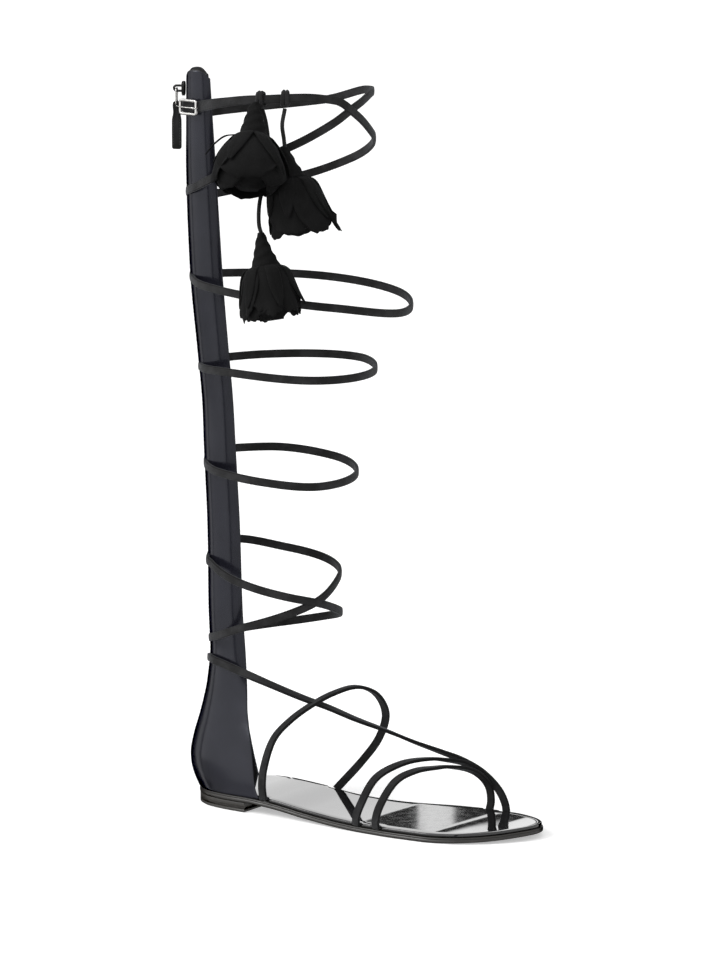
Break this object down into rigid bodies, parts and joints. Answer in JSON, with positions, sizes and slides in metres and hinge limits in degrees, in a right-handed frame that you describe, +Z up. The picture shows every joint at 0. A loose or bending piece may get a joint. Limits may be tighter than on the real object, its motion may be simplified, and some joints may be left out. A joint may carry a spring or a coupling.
{
  "type": "knee-high gladiator sandal",
  "caption": "Flat knee-high gladiator sandal, right foot, with a leather back panel and rear zip, thin suede straps looped round the leg and foot, a small buckle and hanging suede roses.",
  "frame": {"origin": "middle of the heel block's flat ground face", "axes": "+X towards the toe, +Y towards the inner side of this right shoe, +Z up the leg"},
  "size_m": [0.2695, 0.1633, 0.476],
  "materials": {
    "heel": "satin, dyed stacked leather",
    "sole_leather": "satin edge dye",
    "patent_leather": "high gloss",
    "panel_leather": "smooth, semi gloss",
    "suede": "matte napped",
    "zip_coil": "matte",
    "nickel": "polished"
  },
  "bodies": {
    "sandal": {"heel_block": "heel", "outsole": "sole_leather", "insole": "patent_leather", "back_panel_lateral": "panel_leather", "back_panel_medial": "panel_leather", "zip_chain": "zip_coil", "zip_slider": "nickel", "calf_strap_upper": "suede", "calf_strap_middle": "suede", "calf_strap_lower": "suede", "top_wrap_strap": "suede", "ankle_cross_strap": "suede", "vamp_straps": "suede", "buckle_frame": "nickel", "buckle_pin": "nickel", "rose_upper": "suede", "rose_middle": "suede", "rose_lower": "suede", "thong_loop_rear": "suede", "thong_loop_front": "suede", "rose_thong": "suede"},
    "puller": {"zip_puller_ring": "nickel", "zip_pull_tab": "panel_leather"}
  },
  "joints": [
    {"name": "puller_hinge", "type": "hinge", "parent": "sandal", "child": "puller", "pos_m": [-0.04327, -0.00748, 0.463], "axis": [-0.3907, 0.9205, 0], "range_deg": [0, 150]}
  ]
}
